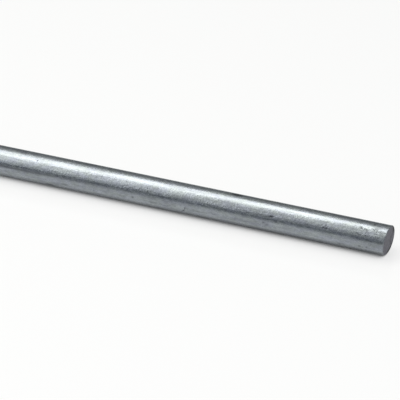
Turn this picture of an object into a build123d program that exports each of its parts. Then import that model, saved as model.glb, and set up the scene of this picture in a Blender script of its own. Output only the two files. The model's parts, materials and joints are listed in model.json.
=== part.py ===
from build123d import *
import math
import os

# Drawn steel round bar with a thin zinc coat, cropped from long stock.
#
# One solid piece. The bar lies along X, with its middle at the origin.
# Both ends are cut by the same cropping blade, so the two end faces are
# parallel, stand a few degrees off square, and have a rim rounded over by
# tumbling. All sizes are millimetres and degrees.

# Driving dimensions
bar_diameter = 12.0     # finished diameter, coat included
bar_length = 1000.0     # along the axis, from end face to end face
crop_slant = 4.5        # angle that the blade leaves each end face off square
crop_heading = 45.0     # side on which the +X end stands furthest out, from +Y towards +Z
rim_radius = 0.65       # rounding of the rim at each cropped end


def drawn_stock():
    """Round stock along X, as it comes off the draw bench, longer than the bar."""
    slant_reach = bar_diameter * math.tan(math.radians(crop_slant))
    stock_length = bar_length + 2 * (slant_reach + bar_diameter)
    section = Plane.YZ * Circle(bar_diameter / 2)
    return extrude(section, stock_length / 2, both=True)


def crop_plane(station):
    """Plane of one stroke of the blade, through the axis at X = station."""
    slant = math.radians(crop_slant)
    heading = math.radians(crop_heading)
    lean = -math.sin(slant)
    normal = (math.cos(slant), lean * math.cos(heading), lean * math.sin(heading))
    return Plane(origin=(station, 0, 0), z_dir=normal)


def crop(stock):
    """Cut the stock to length with two strokes of the same blade."""
    bar = split(stock, bisect_by=crop_plane(bar_length / 2), keep=Keep.BOTTOM)
    return split(bar, bisect_by=crop_plane(-bar_length / 2), keep=Keep.TOP)


def round_rims(bar):
    """Round the sharp rim of each cropped face."""
    rims = bar.faces().filter_by(GeomType.PLANE).edges()
    return fillet(rims, rim_radius)


def round_bar():
    """The finished bar."""
    bar = round_rims(crop(drawn_stock()))
    bar.label = "round_bar"
    return bar


os.makedirs("parts", exist_ok=True)
export_step(round_bar(), "parts/round_bar.step")
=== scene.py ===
# %% [markdown]
# # A drawn and zinc-coated round bar
#
# Round bar is stock. Shafts, axles, pins and rails are cut from it. It starts as hot-rolled
# steel and is pulled cold through a ring-shaped die, which makes it round, straight and
# smooth, and leaves fine lines along it. A thin coat of zinc keeps the rust off. Last, a
# blade crops the long stock into bars.
#
# A bar has few shapes, so its looks depend on how the metal takes the light: the small
# waves of its wall, the marks of handling, the rounded rim, the torn face, and a studio
# that gives the metal something to reflect. This lesson makes them in that order.

# %% Load the fixed frame
import json
import math

import bmesh
import bpy
import numpy as np
from mathutils import Matrix, Vector, noise


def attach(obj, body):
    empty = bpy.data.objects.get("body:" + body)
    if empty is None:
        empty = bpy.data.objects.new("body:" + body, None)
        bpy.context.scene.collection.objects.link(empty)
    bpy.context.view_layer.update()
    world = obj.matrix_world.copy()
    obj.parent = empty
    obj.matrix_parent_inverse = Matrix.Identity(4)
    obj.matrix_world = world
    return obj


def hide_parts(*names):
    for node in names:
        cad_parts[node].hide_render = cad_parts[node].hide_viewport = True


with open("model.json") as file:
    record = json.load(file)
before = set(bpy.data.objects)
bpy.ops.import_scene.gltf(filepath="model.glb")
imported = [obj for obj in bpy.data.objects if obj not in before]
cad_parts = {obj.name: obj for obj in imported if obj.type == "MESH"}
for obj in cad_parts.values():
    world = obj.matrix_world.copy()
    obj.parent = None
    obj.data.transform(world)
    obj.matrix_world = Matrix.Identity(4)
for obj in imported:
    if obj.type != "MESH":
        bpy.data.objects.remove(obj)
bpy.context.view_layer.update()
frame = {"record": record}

# %% [markdown]
# ## Sizes
#
# The bar's sizes aren't typed in again. Its record names the places where it is held: the
# shaft, which gives the radius, and the two end faces. A face's place gives the half
# length. The way it points gives the lean of the cut, because a cropping blade never
# leaves a face quite square to the bar.

# %% Read the bar's sizes
MM = 0.001
mounts = {mount["name"]: mount for mount in frame["record"]["mounts"]}
RADIUS = mounts["shaft"]["dims"]["r_mm"] * MM
HALF_LENGTH = mounts["end_face_plus_x"]["pos_m"][0]
LENGTH = 2 * HALF_LENGTH
cut_normal = Vector(mounts["end_face_plus_x"]["axis"])
LEAN_Y = -cut_normal.y / cut_normal.x
LEAN_Z = -cut_normal.z / cut_normal.x
print("radius", RADIUS, "half length", HALF_LENGTH, "lean", round(LEAN_Y, 4), round(LEAN_Z, 4))

# %% [markdown]
# ## A wall that isn't perfectly round
#
# A drawn bar looks smooth, and still the edges of its reflections tremble, because the wall
# rises and falls by a few thousandths of a millimetre. Lines from the die run along the
# bar and hardly change in that direction. Waves from the straightening rolls are a few
# millimetres long. A Displace modifier could make both, but it needs a mesh that is fine
# everywhere. Here each point of the mesh asks for its own relief as it is placed. The noise
# is three-dimensional and is read on the wall itself, so it closes round the bar without a
# seam. It only ever goes inward, so the bar never grows past its size.

# %% Relief of the wall
LINE_DEPTH, LINE_LONG, LINE_WIDE = 0.0016 * MM, 70 * MM, 1.3 * MM
WAVE_DEPTH, WAVE_LONG, WAVE_WIDE = 0.0060 * MM, 9 * MM, 3.5 * MM
WAVE_SHIFT = 3.1  # metres, so that the waves don't copy the lines


def noise_at(x, y, z, along, across):
    """Noise from -1 to 1 whose patches are along metres long and across metres wide."""
    return noise.noise(Vector((x / along, y / across, z / across)))


def wall_relief(x, y, z):
    """How far the wall lies under the true cylinder, in metres."""
    lines = noise_at(x, y, z, LINE_LONG, LINE_WIDE)
    waves = noise_at(x + WAVE_SHIFT, y, z, WAVE_LONG, WAVE_WIDE)
    return LINE_DEPTH * (1 + lines) + WAVE_DEPTH * (1 + waves)


top_line = [wall_relief(x, 0, RADIUS) / MM for x in np.linspace(-HALF_LENGTH, HALF_LENGTH, 500)]
print("relief of the top line in mm:", round(min(top_line), 4), "to", round(max(top_line), 4))

# %% [markdown]
# ## Marks of handling, and a painted shade
#
# Bars knock against each other in the rack, and each knock leaves a shallow pit that fills
# with dirt. An even scatter of random marks looks like a pattern, so these are set one by
# one, as a maker would age a prop: most are near the cropped end, where a bar is handled,
# and a few are alone further along. A mark longer than it is wide is a scratch, slant makes
# it lean, and a mark without depth is only a stain. The last row is no mark: it is a long
# painted shade along the front, which widens the dark reflected line toward the far end.
#
# Each row gives the distance from the +X end in mm, the angle round the bar in degrees,
# counted upward from the front, half the length and half the width in mm, the slant, the
# depth in mm, and how dark the mark is, from 0 to 1.

# %% The marks, and a painted shade
MARKS_AND_SHADE = (
    (1.9, 17.0, 1.50, 0.50, 0.0, 0.00, 0.30),
    (2.1, 57.5, 1.80, 0.60, 0.0, 0.00, 0.50),
    (2.2, 58.5, 0.28, 0.25, 0.0, 0.03, 0.80),
    (3.5, 3.0, 2.60, 0.45, 0.0, 0.00, 0.22),
    (4.2, 68.0, 1.50, 0.55, 0.0, 0.00, 0.55),
    (5.0, 59.3, 0.48, 0.32, 0.0, 0.04, 0.95),
    (5.6, 30.5, 0.30, 0.20, 0.0, 0.01, 0.45),
    (5.7, 86.0, 0.50, 0.42, 0.0, 0.04, 1.00),
    (7.0, -13.0, 0.30, 0.50, 0.3, 0.01, 0.55),
    (7.8, 32.3, 0.34, 0.26, 0.0, 0.03, 0.80),
    (8.4, 57.4, 0.40, 0.22, 0.0, 0.02, 0.80),
    (9.8, -12.0, 0.60, 0.50, 0.0, 0.01, 0.50),
    (10.0, 57.6, 0.58, 0.38, 0.0, 0.06, 1.00),
    (12.4, -31.0, 2.40, 0.70, 0.0, 0.00, 0.60),
    (13.3, 47.0, 0.25, 0.25, 0.0, 0.02, 0.50),
    (17.8, -23.0, 0.90, 0.60, 0.0, 0.00, 0.50),
    (20.9, 3.0, 0.35, 0.45, 0.0, 0.00, 0.30),
    (23.4, 30.0, 0.44, 0.34, 0.0, 0.05, 1.00),
    (23.8, 41.0, 0.34, 0.28, 0.0, 0.02, 0.85),
    (24.6, 30.8, 0.50, 0.32, 0.3, 0.03, 0.90),
    (25.3, 39.0, 0.30, 0.24, 0.0, 0.02, 0.70),
    (31.0, 28.5, 0.40, 0.28, 0.0, 0.02, 0.55),
    (45.7, 31.2, 1.00, 0.42, 0.1, 0.06, 1.00),
    (47.2, -4.0, 0.70, 0.50, 0.3, 0.00, 0.45),
    (48.6, 2.6, 0.60, 0.40, 0.3, 0.01, 0.50),
    (55.6, 28.8, 0.90, 0.26, 0.1, 0.01, 0.60),
    (59.9, 48.7, 0.28, 0.24, 0.0, 0.03, 0.70),
    (61.9, 97.5, 2.70, 1.00, 0.0, 0.02, 1.00),
    (81.3, -8.0, 0.26, 0.85, 0.2, 0.02, 0.70),
    (82.0, -20.5, 0.34, 0.62, 0.8, 0.05, 1.00),
    (82.9, -30.0, 0.60, 0.35, 0.4, 0.01, 0.60),
    (97.2, 29.0, 0.32, 0.26, 0.0, 0.03, 0.75),
    (97.5, 39.0, 0.26, 0.24, 0.0, 0.02, 0.65),
    (103.4, -5.4, 0.40, 0.45, 0.2, 0.01, 0.60),
    (117.5, 21.0, 0.90, 0.30, 0.0, 0.00, 0.35),
    (132.8, -13.4, 1.70, 0.60, 0.1, 0.00, 0.50),
    (139.8, -36.0, 2.20, 0.90, 0.0, 0.02, 0.85),
    (145.8, 60.0, 0.32, 0.36, 0.2, 0.04, 0.85),
    (149.6, 22.0, 0.50, 0.26, 0.0, 0.01, 0.50),
    # not a mark: painted shade along the front, widening the dark reflected line
    (190.0, 10.7, 60.0, 0.62, 0.0, 0.00, 0.70),
)
print(len(MARKS_AND_SHADE), "marks, the deepest", max(mark[5] for mark in MARKS_AND_SHADE), "mm deep")

# %% Depth and darkness of the marks and the painted shade
MARK_REACH = 2.2  # half lengths after which a mark has faded away
MARK_CORE = 0.35  # share of the spread that keeps the full depth
MARK_FALL, MARK_RAGGED = 1.7, 1.2  # how fast it fades past that, and how unevenly
RAGGED_LONG, RAGGED_WIDE = 0.45, 0.35  # mm, size of the notches in a mark's edge


def mark_and_shade_at(x, angle):
    """Depth of the marks at a place on the wall, in metres, and how dark marks and painted shade
    are, 0 to 1.
    """
    depth = 0.0
    dark = 0.0
    for from_end, clock, half_long, half_wide, slant, deep, darkness in MARKS_AND_SHADE:
        step_x = (HALF_LENGTH - x) / MM - from_end
        if abs(step_x) > MARK_REACH * (half_long + abs(slant) * half_wide):
            continue
        turn = math.remainder(angle - math.radians(clock), 2 * math.pi)
        step_round = turn * RADIUS / MM
        step_x += slant * step_round
        notch = Vector((step_x / RAGGED_LONG, step_round / RAGGED_WIDE, from_end))
        spread = (step_x / half_long) ** 2 + (step_round / half_wide) ** 2
        fall = MARK_FALL + MARK_RAGGED * noise.noise(notch)
        share = math.exp(-max(0.0, spread - MARK_CORE) * fall)
        depth += deep * MM * share
        dark = max(dark, share * darkness)
    return depth, dark


print("middle of the dent near the end:", mark_and_shade_at(HALF_LENGTH - 45.7 * MM, math.radians(31.2)))

# %% [markdown]
# ## The rounded rim
#
# A blade that shears a bar rolls the edge over where it goes in, and leaves a crisper edge
# where it comes out. Tumbling takes off the burr. So the radius of the rim changes on its
# way round the bar. A Bevel modifier has one width all round, and so the rim is worked out
# instead: a quarter of a circle whose radius depends on the angle.

# %% Radius of the rim
RIM_RADIUS = 0.65 * MM
ROLLED, ROLLED_CLOCK = 0.48, math.radians(-105)
CRISPER, CRISPER_CLOCK = 0.45, math.radians(-135)
EVEN, UNEVEN = 1.05, 0.04


def rim_radius(angle):
    """Radius of the rim: rolled over below, crisper above and at the lower back."""
    rolled = ROLLED * math.cos(angle - ROLLED_CLOCK)
    crisper = CRISPER * max(0.0, math.cos(angle - CRISPER_CLOCK)) ** 3
    uneven = UNEVEN * math.sin(3 * angle)
    return RIM_RADIUS * (EVEN + rolled - crisper + uneven)


rims = [rim_radius(math.radians(a)) / MM for a in range(360)]
print("rim radius in mm:", round(min(rims), 2), "to", round(max(rims), 2))

# %% [markdown]
# ## The torn face
#
# Shearing cuts the first part of a bar and tears the rest, so the face is dull and keeps
# faint lines that run the way the blade went, here from the lower front to the upper back.
# They are about a hundredth of a millimetre deep. Noise that is stretched along the blade's
# way makes them, with a little even grain between. The +X face also has a crease, a curved
# and ragged line past which the tear ran a little deeper. Lines and crease are real height
# in the mesh, because they then stay in place in any light.

# %% Relief of the face
TEAR_DEPTH, TEAR_LONG, TEAR_WIDE = 0.012 * MM, 5 * MM, 0.8 * MM
GRIT_SIZE = 0.6 * MM
FACE_INSET = 0.02 * MM
CREASE_DEPTH = 0.05 * MM
CREASE_WIDTH = 0.6 * MM
CREASE_BACK, CREASE_UP = 1.15 * MM, -0.3 * MM  # its foremost place, from the middle
CREASE_BEND = 0.22 / MM
CREASE_RAGGED = 0.35 * MM
DIAGONAL = math.sqrt(0.5)


def past_crease(y, z):
    """How far a place of the +X face lies behind the crease, in crease widths."""
    crease = CREASE_BACK + CREASE_BEND * (z - CREASE_UP) ** 2
    ragged = CREASE_RAGGED * noise.noise(Vector((y / (1.5 * MM), z / (0.9 * MM), 3.0)))
    return (y - crease - ragged) / CREASE_WIDTH


def face_relief(side, y, z):
    """How far the cropped face lies under its plane, in metres."""
    with_blade = (y + z) * DIAGONAL
    across_blade = (y - z) * DIAGONAL
    tear = noise.noise(Vector((with_blade / TEAR_LONG, across_blade / TEAR_WIDE, 5.0)))
    grit = noise.noise(Vector((y / GRIT_SIZE, z / GRIT_SIZE, 9.0)))
    deeper = 0.5 + 0.5 * math.tanh(past_crease(y, z)) if side > 0 else 0.0
    return FACE_INSET + TEAR_DEPTH * (0.7 * tear + 0.3 * grit) + CREASE_DEPTH * deeper


print("middle of the +X face lies", round(face_relief(1, 0, 0) / MM, 4), "mm under its plane")

# %% [markdown]
# On its way out the blade smears the steel and heats it. Two stretches of the rim, one at
# the upper back and one at the lower back, are made nearly black, partly as burnt steel and
# partly as painted shade where the rim reflects the dark room and the bar's shadow. The
# edge of the face beside them is darkened too, and the crease is darkened as painted shade in
# its step. A number from 0 to 1 is stored on each point for it, and the material reads that
# number later. It needs no picture and follows the mesh exactly. The far end stays plain.

# %% Burnt stretches with painted shade, and the painted shade of the crease
# rim stretches darkened as burnt steel and as painted shade of the dark room and the shadow
BURNT_AND_SHADED_STRETCHES = ((142, 24), (246, 36))  # middle and half length, in degrees
BORDER_FROM, BORDER_FULL = 0.72, 0.90  # shares of the face's radius
BORDER_SHADE, CREASE_SHADE = 0.85, 0.85
CLOUD_SIZE = 1.1 * MM


def burnt_and_shade_share(kind, side, share, angle, y, z):
    """How dark the rim and the face are, 0 to 1, from burnt steel and painted shade."""
    if side < 0:
        return 0.0
    offs = [
        math.remainder(angle - math.radians(middle), 2 * math.pi) / math.radians(half)
        for middle, half in BURNT_AND_SHADED_STRETCHES
    ]
    dark_stretch = max(math.exp(-off ** 4) for off in offs)
    if kind == "rim":
        return min(1.0, 3 * share) * dark_stretch
    cloud = noise.noise(Vector((y / CLOUD_SIZE, z / CLOUD_SIZE, 7.0)))
    border = (share + 0.12 * cloud - BORDER_FROM) / (BORDER_FULL - BORDER_FROM)
    border = min(1.0, max(0.0, border))
    # the crease is darkened as painted shade in its step
    past = past_crease(y, z)
    crease = math.exp(-past) if past > 0 else math.exp(-(2 * past) ** 2)
    return max(BORDER_SHADE * border * dark_stretch, CREASE_SHADE * crease * (0.7 + 0.6 * cloud))


upper_back = math.radians(BURNT_AND_SHADED_STRETCHES[0][0])
print("burnt at the upper back:", round(burnt_and_shade_share("rim", 1, 1.0, upper_back, 0, 0), 2))

# %% [markdown]
# ## Steps round the bar and along it
#
# The bar is built like a turned part. A list of steps runs from the middle of one face over
# its rim, along the wall, over the other rim and into the middle of the other face. Each
# step becomes a ring of points. A plain cylinder would spread its points evenly. Here they
# are close together only where there is something to show: on the upper front side, near the
# +X end, and closest of all at the marks. That keeps the fine marks and a small mesh.

# %% Angles of a ring
FINE_FROM, FINE_TO = -26, 116  # degrees, the upper front side
FINE_TURNS, COARSE_TURNS = 71, 36
turns = [math.radians(a) for a in np.linspace(FINE_FROM, FINE_TO, FINE_TURNS)[:-1]]
turns += [math.radians(a) for a in np.linspace(FINE_TO, FINE_FROM + 360, COARSE_TURNS)]
AROUND = len(turns) - 1  # the last turn is the first one again, a full circle on
print(AROUND, "points in a ring")

# %% Distances of the rings
NEAR_STRETCH = 180 * MM
NEAR_STEP = 0.9 * MM
FAR_STEP = 3 * MM
CLOSEST = 0.06 * MM
MARK_RINGS = 13


def wall_places():
    """Distances of the wall's rings from the +X end, in metres, longest first."""
    places = list(np.arange(0, NEAR_STRETCH, NEAR_STEP))
    places += list(np.linspace(NEAR_STRETCH, LENGTH, round((LENGTH - NEAR_STRETCH) / FAR_STEP)))
    for from_end, _, half_long, half_wide, slant, _, _ in MARKS_AND_SHADE:
        reach = half_long + abs(slant) * half_wide
        places += [(from_end + reach * s) * MM for s in np.linspace(-2, 2, MARK_RINGS)]
    places = sorted(p for p in places if p >= 0)
    kept = [places[0]]
    for place in places[1:]:
        if place - kept[-1] > CLOSEST:
            kept.append(place)
    kept[-1] = LENGTH
    return kept[::-1]


RIM_STEPS = 9
FACE_STEPS = 15
steps = [("face", -1, s) for s in np.linspace(0, 1, FACE_STEPS)[1:-1]]
steps += [("rim", -1, s) for s in np.linspace(1, 0, RIM_STEPS)[:-1]]
steps += [("wall", 0, p) for p in wall_places()]
steps += [("rim", 1, s) for s in np.linspace(0, 1, RIM_STEPS)[1:]]
steps += [("face", 1, s) for s in np.linspace(1, 0, FACE_STEPS)[1:-1]]
print(len(steps), "rings")

# %% [markdown]
# Every point is worked out from its step and its angle. On the wall the step is a distance
# from the +X end. On the rim and the face it is a share: 0 at the outer end of the rim or in
# the middle of the face, 1 where the two meet. The cut's lean is added last, as a shift
# along the bar that grows with the height, so the ring next to the face leans with it, and
# the rings of the wall follow.

# %% A point of a ring


def wall_point(place, angle):
    """A point of the wall, and how dark it is there."""
    cos_a, sin_a = -math.cos(angle), math.sin(angle)
    lean = RADIUS * (LEAN_Y * cos_a + LEAN_Z * sin_a)
    wall_half = HALF_LENGTH - FACE_INSET - rim_radius(angle)
    x = lean + wall_half * (1 - place / HALF_LENGTH)
    depth, dark = mark_and_shade_at(x, angle)
    reach = RADIUS - wall_relief(x, RADIUS * cos_a, RADIUS * sin_a) - depth
    return Vector((x, reach * cos_a, reach * sin_a)), dark


def end_point(kind, side, share, angle):
    """A point of the rim or the face, and how dark it is there."""
    rim = rim_radius(angle)
    if kind == "rim":
        turn = share * math.pi / 2
        reach = RADIUS - rim * (1 - math.cos(turn))
        inset = FACE_INSET + rim * (1 - math.sin(turn))
    else:
        reach = (RADIUS - rim) * share
        inset = FACE_INSET
    y, z = -reach * math.cos(angle), reach * math.sin(angle)
    if kind == "rim":
        under = wall_relief(side * HALF_LENGTH, y, z) * math.cos(turn)
        y += under * math.cos(angle)
        z -= under * math.sin(angle)
    else:
        inset += (face_relief(side, y, z) - FACE_INSET) * min(1.0, 3 * (1 - share))
    x = side * (HALF_LENGTH - inset) + LEAN_Y * y + LEAN_Z * z
    return Vector((x, y, z)), burnt_and_shade_share(kind, side, share, angle, y, z)


def ring_point(step, angle):
    """The point of a step at this angle, and how dark it is there."""
    kind, side, share = step
    if kind == "wall":
        return wall_point(share, angle)
    return end_point(kind, side, share, angle)


print("top of the +X rim:", end_point("rim", 1, 1.0, math.pi / 2)[0])

# %% [markdown]
# ## A flat map of the bar
#
# A finish that is turned into pictures, for a game or a web page, needs a place on a flat
# square for every face. Blender's Smart UV Project lays the wall out as strips a metre
# long, which leaves the square nearly empty and the pictures coarse. So the wall is
# unrolled like a paper sleeve, and the sleeve is cut into five pieces that lie one above
# another. The two ends are discs above them, drawn out from the middle so that the rim keeps
# its true width. The map has the name OFBake.

# %% Places on the flat map
STRIPS = 5
STRIP_LENGTH = LENGTH / STRIPS
STRIP_WIDTH = 2 * math.pi * RADIUS
MAP_SIDE = 208 * MM
MAP_MARGIN = (MAP_SIDE - STRIP_LENGTH) / 2
MAP_GAP = 0.9 * MM
DISC_RADIUS = 6.7 * MM
DISC_UP = MAP_GAP + STRIPS * (STRIP_WIDTH + MAP_GAP) + DISC_RADIUS
DISC_OVER = {-1: 8 * MM, 1: 24 * MM}


def on_strip(place, angle, strip):
    """Flat place of a point of the wall."""
    over = MAP_MARGIN + (strip + 1) * STRIP_LENGTH - place
    up = MAP_GAP + strip * (STRIP_WIDTH + MAP_GAP) + (angle - turns[0]) * RADIUS
    return over / MAP_SIDE, up / MAP_SIDE


def on_disc(step, angle, side):
    """Flat place of a point of the face or the rim, the wall's last ring included."""
    kind, _, share = step
    rim = rim_radius(angle)
    reach = (RADIUS - rim) * share
    if kind != "face":
        rounded = share if kind == "rim" else 0.0
        reach = RADIUS - rim + rim * (1 - rounded) * math.pi / 2
    over = DISC_OVER[side] - side * reach * math.cos(angle)
    up = DISC_UP + reach * math.sin(angle)
    return over / MAP_SIDE, up / MAP_SIDE


used = STRIPS * STRIP_WIDTH * STRIP_LENGTH / MAP_SIDE ** 2
print("the wall fills", round(100 * used), "% of the flat square")

# %% Flat corners of a face


def flat_corners(one, two, i):
    """Flat places of the four corners of the face between two rings, after point i."""
    corners = ((one, turns[i]), (two, turns[i]), (two, turns[i + 1]), (one, turns[i + 1]))
    if one[0] == two[0] == "wall":
        strip = min(STRIPS - 1, int((one[2] + two[2]) / 2 / STRIP_LENGTH))
        return [on_strip(step[2], angle, strip) for step, angle in corners]
    side = one[1] or two[1]
    return [on_disc(step, angle, side) for step, angle in corners]


print("first face of the list:", flat_corners(steps[0], steps[1], 0))

# %% [markdown]
# ## Joining the rings
#
# Each ring is joined to the next with four-cornered faces, and a fan of triangles closes
# each end. The corners go round each face the same way, seen from outside, so all faces
# look outward. Two numbers go along on every point: mark, which is how dark the dirt, the
# burnt steel and the painted shade are there, and cut, which is 1 on the cropped face and 0
# on the wall.

# %% Build the bar


def cut_share(step):
    """1 on the cropped face, 0 on the wall, and between them on the rim."""
    kind, side, share = step
    if kind == "face":
        return 1.0
    return share if kind == "rim" else 0.0


class BarMesh:
    """Collects the points and faces of the bar, with the values they carry."""

    def __init__(self):
        self.bm = bmesh.new()
        self.mark = self.bm.verts.layers.float.new("mark")
        self.cut = self.bm.verts.layers.float.new("cut")
        self.flat = self.bm.loops.layers.uv.new("OFBake")

    def point(self, place, mark, cut):
        vertex = self.bm.verts.new(place)
        vertex[self.mark] = mark
        vertex[self.cut] = cut
        return vertex

    def ring(self, step):
        return [self.point(*ring_point(step, angle), cut_share(step)) for angle in turns[:-1]]

    def face(self, vertices, spots):
        face = self.bm.faces.new(vertices)
        face.smooth = True
        for loop, spot in zip(face.loops, spots):
            loop[self.flat].uv = spot

    def band(self, first, second, one, two):
        """Faces between two rings."""
        for i in range(AROUND):
            j = (i + 1) % AROUND
            self.face((first[i], second[i], second[j], first[j]), flat_corners(one, two, i))

    def fan(self, ring, step, side):
        """Triangles from the middle of an end to its innermost ring."""
        hub = self.point((side * (HALF_LENGTH - face_relief(side, 0, 0)), 0, 0), 0.0, 1.0)
        middle = on_disc(("face", side, 0.0), 0.0, side)
        for i in range(AROUND):
            pair = (i, i + 1) if side < 0 else (i + 1, i)
            rim = [ring[k % AROUND] for k in pair]
            self.face((hub, *rim), (middle, *(on_disc(step, turns[k], side) for k in pair)))


def build_bar():
    """The bar as one closed mesh."""
    made = BarMesh()
    rings = [made.ring(step) for step in steps]
    made.fan(rings[0], steps[0], -1)
    for k in range(len(steps) - 1):
        made.band(rings[k], rings[k + 1], steps[k], steps[k + 1])
    made.fan(rings[-1], steps[-1], 1)
    print("volume in cubic cm:", round(made.bm.calc_volume(signed=True) * 1e6, 2))
    mesh = bpy.data.meshes.new("zinc_bar")
    made.bm.to_mesh(mesh)
    made.bm.free()
    bar = bpy.data.objects.new("zinc_bar", mesh)
    bpy.context.scene.collection.objects.link(bar)
    return bar


bar = build_bar()
bar.data.calc_loop_triangles()
print("triangles:", len(bar.data.loop_triangles))

# %% [markdown]
# ## Sums in a material
#
# A material works its values out with nodes. Dozens of nodes are hard to read as a drawing,
# and easy to read as sums. So a small class stands for one output of a node, and its plus,
# minus and times add Math nodes. The reflected forms let a plain number stand first, as in
# 1 - mask. Every other kind of node comes from one method, node.

# %% Outputs that can be added and multiplied


class Signal:
    """One output of a node. Arithmetic on it adds Math nodes to its tree."""

    def __init__(self, tree, socket):
        self.tree = tree
        self.socket = socket

    @staticmethod
    def node(tree, kind, settings=None, sockets=None, output=0):
        """Adds a node: its settings first, then the values or links of its sockets."""
        made = tree.nodes.new(kind)
        for name, value in (settings or {}).items():
            if name == "stops":
                ramp = made.color_ramp
                while len(ramp.elements) < len(value):
                    ramp.elements.new(1.0)
                for element, (place, colour) in zip(ramp.elements, value):
                    element.position = place
                    element.color = (*colour, 1)
            else:
                setattr(made, name, value)
        for key, value in (sockets or {}).items():
            if isinstance(value, Signal):
                tree.links.new(value.socket, made.inputs[key])
            else:
                made.inputs[key].default_value = value
        return Signal(tree, made.outputs[output])

    def feed(self, socket):
        """Links this output to a socket of a shader."""
        self.tree.links.new(self.socket, socket)

    def _math(self, operation, first, second):
        return Signal.node(
            self.tree, "ShaderNodeMath", {"operation": operation}, {0: first, 1: second}
        )

    def __add__(self, other):
        return self._math("ADD", self, other)

    __radd__ = __add__

    def __mul__(self, other):
        return self._math("MULTIPLY", self, other)

    __rmul__ = __mul__

    def __sub__(self, other):
        return self._math("SUBTRACT", self, other)

    def __rsub__(self, other):
        return self._math("SUBTRACT", other, self)


print("reflected forms:", [name for name in vars(Signal) if name.startswith("__r")])

# %% A material to fill


def new_material(name):
    """An empty material: returns it, its tree and its Principled node."""
    material = bpy.data.materials.new(name)
    material.use_nodes = True
    tree = material.node_tree
    return material, tree, tree.nodes["Principled BSDF"]


print("materials so far:", len(bpy.data.materials))

# %% [markdown]
# A few helpers do nearly all the work in the metal. Grain is cloudy noise that can be
# stretched along the bar, as drawing stretches everything in a bar. Specks are the distance
# to scattered points. Step up turns either into clear patches, larger keeps the stronger of
# two patches, and blend lays one colour over another by such a patch. All of them read the
# bar's own coordinates in metres, so nothing slides when the bar turns.

# %% Grain, specks, steps and blends


def parts(vector, axes):
    """The named components of a vector."""
    return [
        Signal.node(vector.tree, "ShaderNodeSeparateXYZ", {}, {0: vector}, output=axis)
        for axis in axes
    ]


def stretched(place, along, across):
    """Coordinates in which a patch along by across metres is 1 by 1."""
    return Signal.node(
        place.tree, "ShaderNodeVectorMath", {"operation": "MULTIPLY"},
        {0: place, 1: (1 / along, 1 / across, 1 / across)},
    )


def grain(place, along, across, detail=0.0, roughness=0.5):
    """Noise about 0.5 whose patches are along and across metres in size."""
    sockets = {"Vector": stretched(place, along, across), "Scale": 1.0}
    sockets.update({"Detail": detail, "Roughness": roughness})
    return Signal.node(place.tree, "ShaderNodeTexNoise", {}, sockets)


def specks(place, along, across):
    """Distance to the nearest of scattered points, 0 at a point."""
    sockets = {"Vector": stretched(place, along, across), "Scale": 1.0}
    return Signal.node(place.tree, "ShaderNodeTexVoronoi", {}, sockets)


def step_up(value, start, end):
    """0 below start, 1 above end, smooth between."""
    return Signal.node(
        value.tree, "ShaderNodeMapRange", {"interpolation_type": "SMOOTHSTEP"},
        {0: value, 1: start, 2: end, 3: 0.0, 4: 1.0},
    )


def larger(first, second):
    """The larger of two values."""
    return Signal.node(
        first.tree, "ShaderNodeMath", {"operation": "MAXIMUM"}, {0: first, 1: second}
    )


def blend(share, first, second, way="MIX"):
    """A colour between two colours, or their product with the way MULTIPLY."""
    tree = next(value.tree for value in (share, first, second) if isinstance(value, Signal))
    return Signal.node(
        tree, "ShaderNodeMix", {"data_type": "RGBA", "blend_type": way},
        {0: share, 6: first, 7: second}, output=2,
    )


print("helpers:", ", ".join(f.__name__ for f in (grain, specks, step_up, larger, blend)))

# %% [markdown]
# ## The colour of zinc
#
# Plated zinc is a bright, faintly blue grey. It is never one grey: the bath leaves a
# mottle about a millimetre wide, the drawn lines under it show as streaks, and wiping leaves
# long soft smears. Each has its own grain here, and their sum slides between a darker and a
# lighter zinc. A last, weak grain tips the hue a little to yellow or to blue, as thin films
# on metal do.

# %% Mottle, streaks and smears
ZINC_DARK = (0.169, 0.183, 0.198, 1)
ZINC_LIGHT = (0.341, 0.369, 0.394, 1)
YELLOWER = (1.006, 1.012, 0.974, 1)
BLUER = (0.994, 0.988, 1.026, 1)


def zinc_layers(place):
    """The colour of the zinc, and its mottle and streaks for use elsewhere."""
    mottle = step_up(grain(place, 1.6 * MM, 1.1 * MM, 3.0, 0.85), 0.3, 0.7)
    streak = step_up(grain(place, 14 * MM, 0.9 * MM, 3.0, 0.75), 0.3, 0.7)
    smear = step_up(grain(place, 22 * MM, 3.5 * MM, 1.0, 0.5), 0.3, 0.7)
    zinc = blend(mottle * 0.45 + streak * 0.40 + smear * 0.15, ZINC_DARK, ZINC_LIGHT)
    hue = step_up(grain(place, 4 * MM, 1.8 * MM, 1.0), 0.3, 0.7)
    return blend(1.0, zinc, blend(hue, YELLOWER, BLUER), "MULTIPLY"), mottle, streak


print("mean zinc:", [round((a + b) / 2, 3) for a, b in zip(ZINC_DARK, ZINC_LIGHT)])

# %% [markdown]
# ## Where the bar was rubbed, pitted and soiled, and the painted shade below
#
# A bar isn't worn the same all round. One side slid over the rack and is scuffed, most of
# all near the cropped end, where the zinc is pitted. The side it lay on holds soft dirt. A
# dark line along the underside, thickening toward the end, is painted shade: the reflection
# of the bar's own shadow on the floor. A mask for a side of the bar needs no painting: it is
# how far a point faces that side, which is a sum of two coordinates.

# %% Masks on the bar
SCUFFED_CLOCK = math.radians(38)
PITTED_CLOCK = math.radians(47)
LOWER_CLOCK = math.radians(-50)
SIDE_FROM, SIDE_FULL = 0.90, 0.98  # how far a point has to face a side to be worn
PITTED_FROM, PITTED_FULL = 18 * MM, 7 * MM  # from the +X end
# where the painted shade along the underside starts to thicken, and where it is full
UNDER_SHADE_FROM, UNDER_SHADE_FULL = 150 * MM, 10 * MM
PIT_SPACING = 0.62 * MM
SMUDGE = 0.42
# how dark the painted shade along the underside is, all along and near the +X end
UNDER_SHADE_THIN, UNDER_SHADE_MORE = 0.08, 0.52


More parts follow.
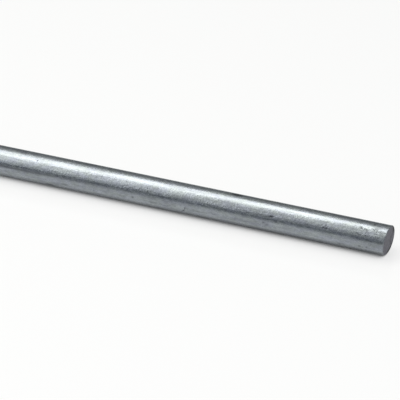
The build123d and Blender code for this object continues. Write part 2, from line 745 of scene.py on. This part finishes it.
def facing(back, up, clock):
    """1 on the line of the wall at this angle, 0 a quarter turn away, -1 opposite."""
    return (up * math.sin(clock) - back * math.cos(clock)) * (1 / RADIUS)


def near_end(along, start, full):
    """0 further than start metres from the +X end, 1 nearer than full metres."""
    return step_up(along, HALF_LENGTH - start, HALF_LENGTH - full)


def wear_and_shade_masks(place):
    """Masks: scuffed side, patches, pitted stretch, pits, soft dirt and painted shade below."""
    along, back, up = parts(place, "XYZ")
    scuffed = step_up(facing(back, up, SCUFFED_CLOCK), SIDE_FROM, SIDE_FULL)
    patchy = step_up(grain(place, 16 * MM, 5 * MM, 1.0), 0.35, 0.65)
    pitted_side = step_up(facing(back, up, PITTED_CLOCK), SIDE_FROM, SIDE_FULL)
    pitted = near_end(along, PITTED_FROM, PITTED_FULL) * pitted_side
    pit_size = step_up(grain(place, 1.1 * MM, 1.1 * MM), 0.28, 0.60) * 0.5
    pit = step_up(pit_size - specks(place, PIT_SPACING, PIT_SPACING), 0.0, 0.16) * pitted

    lower = facing(back, up, LOWER_CLOCK)
    smudge = step_up(grain(place, 6 * MM, 1.5 * MM, 4.0, 0.85), 0.48, 0.72)
    smudge = smudge * step_up(lower, 0.50, 0.80) * SMUDGE
    # painted shade: a dark line along the underside, the reflection of the bar's own shadow
    thicker = near_end(along, UNDER_SHADE_FROM, UNDER_SHADE_FULL)
    under_shade = step_up(lower, 0.86, 0.985) * (UNDER_SHADE_THIN + UNDER_SHADE_MORE * thicker)
    return scuffed, patchy, pitted, pit, larger(smudge, under_shade)


print("pitted over the last", round(PITTED_FROM / MM), "mm")
print("grime over the last", round(UNDER_SHADE_FROM / MM), "mm")

# %% [markdown]
# ## The colour of the cropped face
#
# The face is bare steel: darker than zinc and faintly violet, with lighter and darker
# streaks along the blade's way. Its noise is laid on the same diagonal as the torn lines of
# the mesh. The burnt side of the rim, with its painted shade, and the painted shade of the
# crease go over it, through the number stored on the points.

# %% Torn steel
STEEL_DARK = (0.133, 0.130, 0.151, 1)
STEEL_LIGHT = (0.200, 0.196, 0.225, 1)
# nearly black: burnt steel, and painted shade on the rim, the face's edge and the crease
BURNT_AND_SHADE = (0.006, 0.006, 0.007, 1)
# one dark colour for dirt, marks and pits, and for the painted shade below and in front
DIRT_AND_SHADE = (0.070, 0.075, 0.085, 1)
BLADE_STRETCH = 0.2  # streaks are five times as long as wide


def torn_steel(place):
    """The colour of the cropped face."""
    back, up = parts(place, "YZ")
    with_blade = (back + up) * DIAGONAL
    across_blade = (back - up) * DIAGONAL
    diagonal = Signal.node(
        place.tree, "ShaderNodeCombineXYZ", {},
        {0: across_blade, 1: with_blade * BLADE_STRETCH, 2: 0.0},
    )
    streaks = grain(diagonal, 0.8 * MM, 0.8 * MM, 2.0, 0.6)
    return blend(step_up(streaks, 0.3, 0.7), STEEL_DARK, STEEL_LIGHT)


print("mean steel:", [round((a + b) / 2, 3) for a, b in zip(STEEL_DARK, STEEL_LIGHT)])

# %% [markdown]
# ## Height for the gloss
#
# The finest relief of zinc, grains under a tenth of a millimetre high, is too small for a
# mesh. A Bump node tilts the light as if it were there. It is strongest on the scuffed side,
# and each speck there throws one small glint. Pits are low in it, as they are dark in the
# colour, because a real pit is both.

# %% Fine relief of the zinc
BUMP_DISTANCE = 0.02 * MM


def fine_relief(place, streak, scuffed, patchy, pitted, pit):
    """A Bump node's output for the zinc."""
    ripple = step_up(grain(place, 1.9 * MM, 1.3 * MM, 4.0, 0.68), 0.2, 0.8)
    fine = grain(place, 0.85 * MM, 0.6 * MM, 2.0, 0.6)
    glint = 1 - step_up(specks(place, 2.6 * MM, 2.0 * MM), 0.05, 0.20)
    gain = 1.0 + 1.4 * patchy + scuffed * (0.5 + 1.7 * patchy) + 1.5 * pitted
    height = ripple * (1 + 0.5 * pitted) + fine * gain + streak * 0.10
    height = height + glint * (2.4 * patchy * scuffed + 1.4 * pitted) - pit * 1.8
    return Signal.node(
        place.tree, "ShaderNodeBump", {},
        {"Strength": 1.0, "Distance": BUMP_DISTANCE, "Height": height},
    )


print("a height of 1 stands for", BUMP_DISTANCE / MM, "mm")

# %% [markdown]
# ## The finished metal
#
# One material serves the whole bar, because the bar is one piece of metal. The layers go on
# in the order in which they came to the real bar: zinc, then dirt and pits, then the bare
# face of the cut, then the burnt rim. Painted shade goes on with two of them: a dark line
# along the underside and a long shade along the front with the dirt, and dark stretches of
# the rim and the crease with the burnt steel. Metal has no colour but that of its
# reflections, so Metallic is 1 on the zinc. The ridges of the torn face are so fine and steep
# that they scatter light as a matte thing does, so Metallic drops to 0.2 there and Roughness
# rises.

# %% Zinc-coated steel
TORN_METALLIC = 0.2
ZINC_ROUGHNESS, MOTTLE_ROUGHNESS, TORN_ROUGHNESS = 0.19, 0.10, 0.5


def zinc_steel():
    """Semi-bright zinc over drawn steel, with a dull cropped face."""
    material, tree, shader = new_material("zinc_steel")
    place = Signal.node(tree, "ShaderNodeTexCoord", output="Object")
    cut = Signal.node(tree, "ShaderNodeAttribute", {"attribute_name": "cut"}, output="Fac")
    mark = Signal.node(tree, "ShaderNodeAttribute", {"attribute_name": "mark"}, output="Fac")
    zinc, mottle, streak = zinc_layers(place)
    scuffed, patchy, pitted, pit, soft_dirt_and_under_shade = wear_and_shade_masks(place)

    # dirt, pits and marks, with the painted shade along the underside and the front
    dirt_and_shade_share = larger(larger(mark, pit * 0.65), soft_dirt_and_under_shade)
    wall = blend(dirt_and_shade_share, zinc, DIRT_AND_SHADE)
    torn = step_up(cut, 0.45, 0.85)
    colour = blend(torn, wall, torn_steel(place))
    # burnt steel and painted shade on the rim and the face
    burnt_and_shade = mark * step_up(cut, 0.05, 0.2)
    colour = blend(burnt_and_shade, colour, BURNT_AND_SHADE)
    colour.feed(shader.inputs["Base Color"])
    (1 - (1 - TORN_METALLIC) * torn).feed(shader.inputs["Metallic"])
    rough = ZINC_ROUGHNESS + MOTTLE_ROUGHNESS * mottle + TORN_ROUGHNESS * cut
    rough.feed(shader.inputs["Roughness"])
    fine_relief(place, streak, scuffed, patchy, pitted, pit).feed(shader.inputs["Normal"])
    print("nodes in the metal:", len(tree.nodes))
    return material


bar.data.materials.append(zinc_steel())
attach(bar, "root")
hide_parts("round_bar")

# %% [markdown]
# ## The floor
#
# The bar lies on a wide, pale, faintly glossy floor. A studio would light the floor until it
# turns white, but more light would also burn out the bar. So the floor glows white only for
# the camera and for mirror-like rays, and the light that falls on the bar stays as it is.
# Two things hold the glow back. Ambient occlusion measures how much sky a spot of the floor
# sees, so the floor stays dark close to the bar and keeps its shadow. Fresnel grows where
# the floor is seen at a low angle, so the far floor isn't a white band in the metal.

# %% Lay the floor
FLOOR_SIZE = 30.0
FLOOR_SHADE = 0.83
FLOOR_GLOW = 0.8
SHADOW_REACH = 9 * MM


def floor_glow(tree):
    """How much of the floor's look is plain white, for the rays that may see it so."""
    camera_ray, glossy_ray, clear_ray = (
        Signal.node(tree, "ShaderNodeLightPath", output=f"Is {kind} Ray")
        for kind in ("Camera", "Glossy", "Transmission")
    )
    open_sky = Signal.node(
        tree, "ShaderNodeAmbientOcclusion", {"samples": 8}, {"Distance": SHADOW_REACH}, output="AO"
    )
    steep = 1 - Signal.node(tree, "ShaderNodeFresnel", {}, {"IOR": 1.5})
    seen = camera_ray * step_up(open_sky, 0.0, 0.5)
    mirrored = (glossy_ray + clear_ray) * step_up(open_sky, 0.1, 0.8)
    return (seen + mirrored) * steep * steep * FLOOR_GLOW


def pale_floor():
    """A pale, faintly glossy floor that looks white."""
    material, tree, shader = new_material("pale_floor")
    shader.inputs["Base Color"].default_value = (FLOOR_SHADE, FLOOR_SHADE, FLOOR_SHADE, 1)
    shader.inputs["Roughness"].default_value = 0.3
    shader.inputs["Coat Weight"].default_value = 1.0
    shader.inputs["Coat Roughness"].default_value = 0.2
    white = Signal.node(tree, "ShaderNodeEmission", {}, {"Color": (1, 1, 1, 1), "Strength": 1.0})
    lit = Signal(tree, shader.outputs[0])
    mixed = Signal.node(tree, "ShaderNodeMixShader", {}, {0: floor_glow(tree), 1: lit, 2: white})
    mixed.feed(tree.nodes["Material Output"].inputs["Surface"])
    return material


half = FLOOR_SIZE / 2
floor_mesh = bpy.data.meshes.new("floor")
corners_xy = ((-half, -half), (half, -half), (half, half), (-half, half))
floor_corners = [(x, y, -RADIUS) for x, y in corners_xy]
floor_mesh.from_pydata(floor_corners, [], [(0, 1, 2, 3)])
floor_mesh.materials.append(pale_floor())
floor = bpy.data.objects.new("floor", floor_mesh)
bpy.context.scene.collection.objects.link(floor)
print("the floor lies at", -RADIUS, "m, where the bar touches it")

# %% [markdown]
# ## The lamps
#
# Polished metal shows its lamps, so their shapes matter as much as their light. A long soft
# box overhead draws the bright stripe along the bar. It stands a little askew, which makes
# the stripe narrow toward the cropped end. A lower box in front fades the stripe out
# downward, and a faint one near the horizon lifts the front. Power is worked out from the
# wanted brightness and the area, so a box can change its size and keep its look.

# %% Hang the lamps
LAMP_DISTANCE = 1.5


def soft_box(name, angle, from_x, yaw, width, length, radiance, colour):
    """A rectangular lamp that faces the bar, at an angle up from the front horizon."""
    data = bpy.data.lights.new(name, "AREA")
    data.shape = "RECTANGLE"
    data.size = length
    data.size_y = width
    data.energy = radiance * math.pi * width * length
    data.color = colour
    turn, askew = math.radians(angle), math.radians(yaw)
    spot = Vector((from_x, -LAMP_DISTANCE * math.cos(turn), LAMP_DISTANCE * math.sin(turn)))
    away = Vector((0, spot.y, spot.z)).normalized()
    side = Vector((math.cos(askew), math.sin(askew), 0))
    side = (side - away * side.dot(away)).normalized()
    up = away.cross(side)
    lamp = bpy.data.objects.new(name, data)
    lamp.matrix_world = Matrix.Translation(spot) @ Matrix((side, up, away)).transposed().to_4x4()
    bpy.context.scene.collection.objects.link(lamp)
    print(name, "gives", round(data.energy, 2), "W")


soft_box(
    "top_box", angle=93, from_x=-0.43, yaw=37,
    width=0.79, length=1.65, radiance=2.66, colour=(1.0, 0.982, 0.931),
)
soft_box(
    "front_box", angle=60, from_x=-0.74, yaw=0,
    width=1.23, length=1.13, radiance=1.22, colour=(1.0, 1.0, 0.99),
)
soft_box(
    "fill_box", angle=28, from_x=-0.55, yaw=0,
    width=0.55, length=0.60, radiance=0.95, colour=(0.97, 0.99, 1.0),
)

# %% [markdown]
# ## The room
#
# Between the lamps, metal reflects the room. A studio is dark and bluish low down and pale
# toward the ceiling. The dark line along the front of the bar is that low, dark part, and
# without it the bar would look like plastic. A ramp over the height of each direction
# paints the room. The wall behind is a quarter darker and a little yellower, which darkens
# the bar's top edge.

# %% Paint the room
ROOM_SHADES = (
    (0.0, (0.125, 0.144, 0.169)),
    (0.087, (0.245, 0.268, 0.300)),
    (0.208, (0.345, 0.364, 0.388)),
    (0.423, (0.434, 0.446, 0.460)),
    (0.707, (0.900, 0.905, 0.905)),
    (0.906, (1.280, 1.290, 1.250)),
    (1.0, (1.54, 1.55, 1.49)),
)
BACK_TINT = (0.755, 0.764, 0.725, 1)


def paint_room():
    """Gives the scene a world that is dark low down, pale above, and darker behind."""
    world = bpy.data.worlds.new("studio")
    bpy.context.scene.world = world
    world.use_nodes = True
    tree = world.node_tree
    direction = Signal.node(tree, "ShaderNodeTexCoord", output="Generated")
    behind, height = parts(direction, "YZ")
    ramp = Signal.node(tree, "ShaderNodeValToRGB", {"stops": ROOM_SHADES}, {0: height})
    dimmed = blend(step_up(behind, 0.4, 0.9), ramp, BACK_TINT, "MULTIPLY")
    dimmed.feed(tree.nodes["Background"].inputs["Color"])


paint_room()
print("room from", ROOM_SHADES[0][1], "to", ROOM_SHADES[-1][1])

# %% [markdown]
# ## The camera
#
# The camera looks down on the cropped end from the right, from under a metre away, through
# a long lens. It is placed from the bar's own end: so far to the side, so far above. The
# rest of the bar runs out of the frame on the left, as long stock does on a bench. Standard
# is the view transform in which a colour comes out as it was written.

# %% Set up the camera
VIEW_TURN = math.radians(22.53)
VIEW_HEIGHT = math.radians(30)
VIEW_DISTANCE = 0.870
AIM_LEFT = 0.07143
AIM_ABOVE = 0.01542
LENS = 207.3


def make_camera():
    """A camera that looks at a point near the +X end of the bar."""
    out = math.cos(VIEW_HEIGHT)
    back = Vector((math.sin(VIEW_TURN) * out, -math.cos(VIEW_TURN) * out, math.sin(VIEW_HEIGHT)))
    right = Vector((math.cos(VIEW_TURN), math.sin(VIEW_TURN), 0))
    up = back.cross(right)
    aim = Vector((HALF_LENGTH, 0, 0)) - AIM_LEFT * right + AIM_ABOVE * up
    data = bpy.data.cameras.new("camera")
    data.lens = LENS
    data.sensor_width = 36
    data.clip_start = 0.01
    data.clip_end = 100
    camera = bpy.data.objects.new("camera", data)
    rotation = Matrix((right, up, back)).transposed().to_4x4()
    camera.matrix_world = Matrix.Translation(aim + VIEW_DISTANCE * back) @ rotation
    bpy.context.scene.collection.objects.link(camera)
    return camera


bpy.context.scene.camera = make_camera()
bpy.context.scene.view_settings.view_transform = "Standard"
print("camera at", [round(v, 3) for v in bpy.context.scene.camera.matrix_world.translation])

# %% [markdown]
